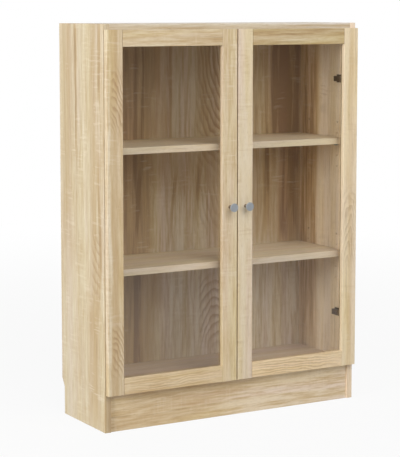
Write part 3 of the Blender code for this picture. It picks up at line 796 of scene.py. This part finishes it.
def oak(
    name,
    log,
    grain="Z",
    tone=0.0,
    tint=(1.0, 1.0, 1.0),
    spread=1.0,
    rose=0.45,
    straw=0.45,
    streaks=0.4,
    marks=0.3,
    stripes=(),
    arches=(),
    knots=(),
    sawn=(),
    bare_from=None,
):
    """Oak-effect foil: soft bands, brown streaks, ring lines, fine fibres, pores and saw marks."""
    material, finish = new_finish(name)
    board = grain_axes(finish, grain)
    figure = foil_figure(finish, board, log)
    place = wandering(board, figure)
    shade = foil_shade(finish, figure, place, tone, spread, stripes)
    colour = foil_colour(finish, figure, shade, tint, rose, straw)

    streak_line = within(finish, figure["streak"], "streak") * streaks
    streak_line = streak_line * (1 - within(finish, figure["bands"], "pale band"))
    colour = finish.over(colour, streak_line, OAK_BROWN)
    for facts in arches:
        lines = arch_lines(finish, board[0], board[2], figure["uneven"], **facts)
        colour = finish.over(colour, lines, OAK_RED_BROWN)
    for facts in knots:
        lines = knot_lines(finish, board[0], board[2], figure["uneven"], **facts)
        colour = finish.over(colour, lines, OAK_BROWN)
    pore_line = 1 - within(finish, figure["pores"], "pore")
    colour = finish.over(colour, pore_line * PORE_DEPTH, OAK_BROWN)

    sawing = sawn_places(finish, figure, place, marks, sawn)
    saw_cut = sawing * within(finish, figure["saw"], "saw cut")
    saw_crest = sawing * (1 - within(finish, figure["saw"], "saw crest"))
    colour = finish.over(colour, saw_cut * SAW_CUT_DEPTH, OAK_DARK)
    colour = finish.over(colour, saw_crest * SAW_CREST_DEPTH, OAK_PALE)
    if bare_from:
        colour = bare_behind(finish, colour, board, bare_from)

    fibres = figure["fibres"]
    height = fibres * FIBRES_HEIGHT + pore_line * PORES_HEIGHT + saw_cut * SAW_CUTS_HEIGHT
    bump = finish.node("Bump", sockets={**FOIL_BUMP, "Height": height})
    roughness = fibres * ROUGHNESS_SWING + FOIL_ROUGHNESS
    shader = finish.node(
        "BsdfPrincipled",
        sockets={"Base Color": colour, "Roughness": roughness, "Normal": bump},
    )
    finish.surface(shader)
    return material


def finish_boards():
    for node, facts in BOARDS.items():
        paint(oak(f"oak_{node}", **facts), node)


# Glass and metal


def clear_glass():
    """A clear pane. Light that comes in from the lamps, or goes round inside, passes straight."""
    material, finish = new_finish("pane_glass")
    glass = finish.node(
        "BsdfPrincipled",
        sockets={
            "Base Color": linear(*GLASS_COLOUR),
            "Roughness": 0.0,
            "IOR": 1.5,
            "Transmission Weight": 1.0,
        },
    )
    straight = finish.node("BsdfTransparent", sockets={"Color": linear(*STRAIGHT_COLOUR)})
    passes = finish.larger(finish.is_ray("Shadow"), finish.is_ray("Diffuse"))
    finish.surface(finish.node("MixShader", sockets={0: passes, 1: glass, 2: straight}))
    return material


def plain(name, colour, roughness, metallic=0.0, neck_shade=None):
    """A metal or plastic whose gloss varies a little. Neck shade: painted shade of the knob's
    neck, from and to a depth, in a darker colour.
    """
    material, finish = new_finish(name)
    place = finish.object_place()
    scaled = finish.node("VectorMath", {"operation": "SCALE"}, {0: place, "Scale": SPECKLES})
    speckle = finish.noise(scaled)
    tint = finish.ramp(speckle, darker_to(colour, SPECKLES_DARKER))
    # Painted shade: the knob's neck turns darker towards the door, where its shade falls.
    if neck_shade:
        start, end, neck_shade_colour = neck_shade
        depth = finish.parts(place)[1]
        tint = finish.blend(finish.between(depth, start, end), tint, linear(*neck_shade_colour))
    bump = finish.node("Bump", sockets={**METAL_BUMP, "Height": speckle})
    shader = finish.node(
        "BsdfPrincipled",
        sockets={
            "Base Color": tint,
            "Metallic": metallic,
            "Roughness": speckle * ROUGHNESS_SWING + (roughness - ROUGHNESS_SWING / 2),
            "Normal": bump,
        },
    )
    finish.surface(shader)
    return material


def finish_fittings():
    glass = clear_glass()
    strip, pad, knob, steel, hinge = (plain(name, *facts) for name, facts in FITTINGS.items())
    for name in NODES:
        if name.endswith("_glass"):
            paint(glass, name)
        elif "_strip_" in name:
            paint(strip, name)
        elif name.endswith("_bumper"):
            paint(pad, name)
        elif name.endswith("_knob"):
            paint(knob, name)
        elif name.startswith("shelf_pin") or name.endswith("_screw"):
            paint(steel, name)
        elif name.startswith("hinge_"):
            paint(hinge, name)
    add_knobs(knob, steel)
    add_hinge_screws(hinge)
    add_back_nails(steel)


# Small fittings, drawn here


FACING = {
    "front": (math.pi / 2, 0, 0),
    "back": (-math.pi / 2, 0, 0),
    "right": (0, math.pi / 2, 0),
    "left": (0, -math.pi / 2, 0),
}


def select_only(piece):
    bpy.ops.object.select_all(action="DESELECT")
    piece.select_set(True)
    bpy.context.view_layer.objects.active = piece


def draw_round(name, stations, sides=32):
    """A round piece drawn up out of a disc, through stations of (height, radius)."""
    bpy.ops.object.select_all(action="DESELECT")
    height, radius = stations[0]
    bpy.ops.mesh.primitive_circle_add(
        vertices=sides, radius=radius, fill_type="NGON", location=(0, 0, height)
    )
    piece = bpy.context.object
    piece.name = name
    bpy.ops.object.mode_set(mode="EDIT")
    for next_height, next_radius in stations[1:]:
        step = {"value": (0, 0, next_height - height)}
        bpy.ops.mesh.extrude_region_move(TRANSFORM_OT_translate=step)
        share = next_radius / radius
        bpy.ops.transform.resize(
            value=(share, share, 1), center_override=(0, 0, next_height)
        )
        height, radius = next_height, next_radius
    bpy.ops.mesh.select_all(action="SELECT")
    bpy.ops.mesh.normals_make_consistent(inside=False)
    bpy.ops.object.mode_set(mode="OBJECT")
    bpy.ops.object.transform_apply(location=True, rotation=True, scale=True)
    return piece


def quarter_round(height, radius, edge, steps=4):
    """Stations over a rounded rim that ends at this height."""
    stations = []
    for i in range(steps + 1):
        angle = math.pi / 2 * i / steps
        rise = height - edge + edge * math.sin(angle)
        stations.append((rise, radius - edge + edge * math.cos(angle)))
    return stations


def cut_cross(piece, top, reach, depth):
    """Cuts a cross recess into the top of a screw's head."""
    for size in ((reach, RECESS_WIDTH), (RECESS_WIDTH, reach)):
        bpy.ops.object.select_all(action="DESELECT")
        bpy.ops.mesh.primitive_cube_add(size=1, location=(0, 0, top), scale=(*size, 2 * depth))
        cutter = bpy.context.object
        select_only(piece)
        modifier = piece.modifiers.new("cross", "BOOLEAN")
        modifier.operation = "DIFFERENCE"
        modifier.solver = "EXACT"
        modifier.object = cutter
        bpy.ops.object.modifier_apply(modifier="cross")
        bpy.data.objects.remove(cutter, do_unlink=True)


def smooth(piece, degrees=35):
    select_only(piece)
    bpy.ops.object.shade_smooth_by_angle(angle=math.radians(degrees))


def fit(pattern, name, place, facing, body, material, slot, *replaced):
    """Puts a copy of a pattern piece in its place on a body."""
    piece = pattern.copy()
    piece.data = pattern.data.copy()
    piece.name = name
    bpy.context.collection.objects.link(piece)
    piece.rotation_euler = FACING[facing]
    piece.location = place
    select_only(piece)
    bpy.ops.object.transform_apply(location=True, rotation=True, scale=True)
    piece.data.materials.append(material)
    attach(piece, body)
    if replaced:
        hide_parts(*replaced)


def knob_pattern(length):
    """A flared knob: a slim neck that opens like a trumpet, a short rim and a dished face."""
    stations = []
    for i in range(KNOB_FLARE_STEPS + 1):
        share = i / KNOB_FLARE_STEPS
        radius = KNOB_NECK + (KNOB_FACE - KNOB_NECK) * share**KNOB_FLARE
        stations.append(((length - KNOB_RIM) * share, radius))
    stations += quarter_round(length, KNOB_FACE, KNOB_ROUND)
    for depth, radius in KNOB_DISH_RINGS:
        stations.append((length - KNOB_DISH * depth, KNOB_FACE * radius))
    knob = draw_round("knob_pattern", stations, sides=48)
    smooth(knob)
    return knob


def screw_pattern(name, length, radius, height, shank):
    """A shank and a domed head with a cross recess, its seat at height 0."""
    point = min(shank, length / 2)
    stations = [(-length, shank * SCREW_POINT), (point - length, shank)]
    stations += [(0, shank), (SEAT_STEP, radius)]
    stations += quarter_round(height, radius, height * SCREW_HEAD_ROUND)
    screw = draw_round(name, stations, sides=24)
    cut_cross(screw, height, radius * RECESS_REACH, height * RECESS_DEPTH)
    smooth(screw)
    return screw


def nail_pattern():
    stations = [(-NAIL_LENGTH, NAIL_POINT), (0, NAIL_SHANK), (SEAT_STEP, NAIL_HEAD)]
    stations += quarter_round(NAIL_HEAD_HEIGHT, NAIL_HEAD, NAIL_HEAD_ROUND, steps=3)
    nail = draw_round("nail_pattern", stations, sides=16)
    smooth(nail)
    return nail


def centre_of(node):
    low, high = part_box(node)
    return (Vector(low) + Vector(high)) / 2


def add_knobs(material, screw_material):
    low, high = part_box("door_left_knob")
    knob = knob_pattern(high[1] - low[1])
    low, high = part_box("door_left_knob_screw")
    head = (KNOB_SCREW_HEAD, KNOB_SCREW_HEAD_HEIGHT)
    shank_length = high[1] - low[1] - KNOB_SCREW_HEAD_HEIGHT
    screw = screw_pattern("knob_screw_pattern", shank_length, *head, KNOB_SCREW_SHANK)
    for side in ("left", "right"):
        node = f"door_{side}_knob"
        seat = centre_of(node)
        seat.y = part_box(node)[1][1]
        body = f"door_{side}"
        fit(knob, f"knob_{side}", seat, "front", body, material, "knob_metal", node)
        node = f"door_{side}_knob_screw"
        seat.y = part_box(node)[1][1] - KNOB_SCREW_HEAD_HEIGHT
        fit(screw, f"knob_screw_{side}", seat, "back", body, screw_material, "steel", node)
    for pattern in (knob, screw):
        bpy.data.objects.remove(pattern, do_unlink=True)


def add_hinge_screws(material):
    """Two screws in each cup's flange, two in each plate and two in each arm."""
    cup_screw = screw_pattern("cup_screw_pattern", *CUP_SCREW)
    plate_screw = screw_pattern("plate_screw_pattern", *PLATE_SCREW)
    arm_screw = screw_pattern("arm_screw_pattern", *ARM_SCREW)
    case_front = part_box("side_panel_left")[0][1]
    for side, sign in (("left", -1), ("right", 1)):
        inward = "right" if side == "left" else "left"
        for level in ("lower", "upper"):
            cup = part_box(f"hinge_cup_{side}_{level}")
            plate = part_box(f"hinge_plate_{side}_{level}")
            centre = centre_of(f"hinge_cup_{side}_{level}")
            base = plate[0][0] if sign < 0 else plate[1][0]
            plate_face = base - sign * PLATE_THICKNESS
            arm_face = plate[1][0] if sign < 0 else plate[0][0]
            arm_face -= sign * ARM_BACK_STEP
            for i, step in enumerate((-1, 1)):
                place = Vector((centre.x - sign * CUP_SCREW_BESIDE, cup[1][1], centre.z))
                place.z += step * CUP_SCREW_ABOVE
                name = f"cup_screw_{side}_{level}_{i + 1}"
                fit(cup_screw, name, place, "back", f"door_{side}", material, "hinge_metal")
                place = Vector((plate_face, case_front + PLATE_SCREW_SETBACK, centre.z))
                place.z += step * PLATE_SCREW_ABOVE
                name = f"plate_screw_{side}_{level}_{i + 1}"
                fit(plate_screw, name, place, inward, "case", material, "hinge_metal")
                place = Vector((arm_face, case_front + ARM_SCREW_SETBACKS[i], centre.z))
                name = f"arm_screw_{side}_{level}_{i + 1}"
                fit(arm_screw, name, place, inward, "case", material, "hinge_metal")
    for pattern in (cup_screw, plate_screw, arm_screw):
        bpy.data.objects.remove(pattern, do_unlink=True)


def add_back_nails(material):
    """Nails through the back panel into the rear edges of the top and bottom panels."""
    nail = nail_pattern()
    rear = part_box("back_panel")[1][1]
    for board in ("top_panel", "bottom_panel"):
        height = centre_of(board).z
        for i in range(NAIL_COUNT):
            x = NAIL_SPAN * (i / (NAIL_COUNT - 1) - 0.5)
            name = f"back_nail_{board}_{i + 1}"
            fit(nail, name, Vector((x, rear, height)), "back", "case", material, "steel")
    bpy.data.objects.remove(nail, do_unlink=True)


# Studio


def add_camera():
    data = bpy.data.cameras.new("camera")
    data.sensor_width = SENSOR
    data.lens = FOCAL_LENGTH_PX / PHOTO_HEIGHT_PX * SENSOR
    data.shift_y = CAMERA_SHIFT_Y
    data.clip_end = CAMERA_REACH
    camera = bpy.data.objects.new("camera", data)
    camera.location = CAMERA_PLACE
    camera.rotation_euler = (math.pi / 2 - CAMERA_DIP, 0, -CAMERA_TURN)
    bpy.context.collection.objects.link(camera)
    bpy.context.scene.camera = camera


def seen_directly(finish):
    """1 for rays from the camera, and for those that went on through glass."""
    return finish.larger(finish.is_ray("Camera"), finish.is_ray("Transmission"))


def add_floor():
    """A pale floor that keeps the cabinet's shadow near it and fades to white further off.

    What glass and metal mirror of it is dimmer, and ends where the lit part of a studio would.
    """
    bpy.ops.object.select_all(action="DESELECT")
    bpy.ops.mesh.primitive_plane_add(size=FLOOR_SIZE, location=(0, 0, 0))
    floor = bpy.context.object
    floor.name = "floor"
    material, finish = new_finish("pale_floor")
    place = finish.object_place()
    away = finish.node("VectorMath", {"operation": "LENGTH"}, {0: place}, output="Value")
    fade = finish.between(away, *FLOOR_FADE)
    white_share = (fade * (1 - FLOOR_WHITE) + FLOOR_WHITE) * seen_directly(finish)
    lit_floor = 1 - finish.between(away, *MIRRORED_FLOOR_END)
    mirrored = lit_floor * MIRRORED_FLOOR + (1 - lit_floor) * MIRRORED_ROOM
    matt = finish.node("BsdfDiffuse", sockets={"Color": linear(*FLOOR_GREY)})
    white = finish.node("Emission", sockets={"Color": WHITE, "Strength": 1.0})
    dim = finish.node("Emission", sockets={"Color": WHITE, "Strength": mirrored})
    lit = finish.node("MixShader", sockets={0: white_share, 1: matt, 2: white})
    glossy = finish.is_ray("Glossy")
    finish.surface(finish.node("MixShader", sockets={0: glossy, 1: lit, 2: dim}))
    floor.data.materials.append(material)


def light_world():
    """A soft white sky, brighter on the left and higher up.

    Gloss shows a white backdrop behind the cabinet and a dim room in front of it.
    """
    world = bpy.data.worlds.new("studio")
    world.use_nodes = True
    bpy.context.scene.world = world
    finish = Finish(world.node_tree)
    direction = finish.node("TexCoord", output="Generated")
    rightward, backward, upward = finish.parts(direction)
    behind = finish.between(backward, -BACKDROP_EDGE, BACKDROP_EDGE)
    room = behind * (1 - MIRRORED_ROOM) + MIRRORED_ROOM
    level = upward * SKY_RISE - rightward * SKY_LEAN + SKY_SHARE
    sky = finish.node("Background", sockets={"Color": WHITE, "Strength": level})
    white = finish.node("Background", sockets={"Color": WHITE, "Strength": 1.0})
    dim = finish.node("Background", sockets={"Color": WHITE, "Strength": room})
    seen = finish.node("MixShader", sockets={0: seen_directly(finish), 1: sky, 2: white})
    mixed = finish.node("MixShader", sockets={0: finish.is_ray("Glossy"), 1: seen, 2: dim})
    finish.end_with("OutputWorld", mixed)


def add_lamp(name, turn, rise, distance, size, share):
    """A round soft lamp that faces the middle of the cabinet."""
    data = bpy.data.lights.new(name, "AREA")
    data.shape = "DISK"
    data.size = size
    data.energy = math.pi**2 * distance**2 * share
    lamp = bpy.data.objects.new(name, data)
    turn, rise = math.radians(turn), math.radians(rise)
    flat = math.cos(rise)
    direction = Vector((math.sin(turn) * flat, -math.cos(turn) * flat, math.sin(rise)))
    lamp.location = Vector((0, 0, CAD_BOX[1].z / 2)) + direction * distance
    lamp.rotation_euler = direction.to_track_quat("Z", "Y").to_euler()
    bpy.context.collection.objects.link(lamp)


finish_boards()
finish_fittings()
add_camera()
add_floor()
light_world()
for lamp_name, lamp_facts in LAMPS.items():
    add_lamp(lamp_name, **lamp_facts)
bpy.context.scene.view_settings.view_transform = "Standard"
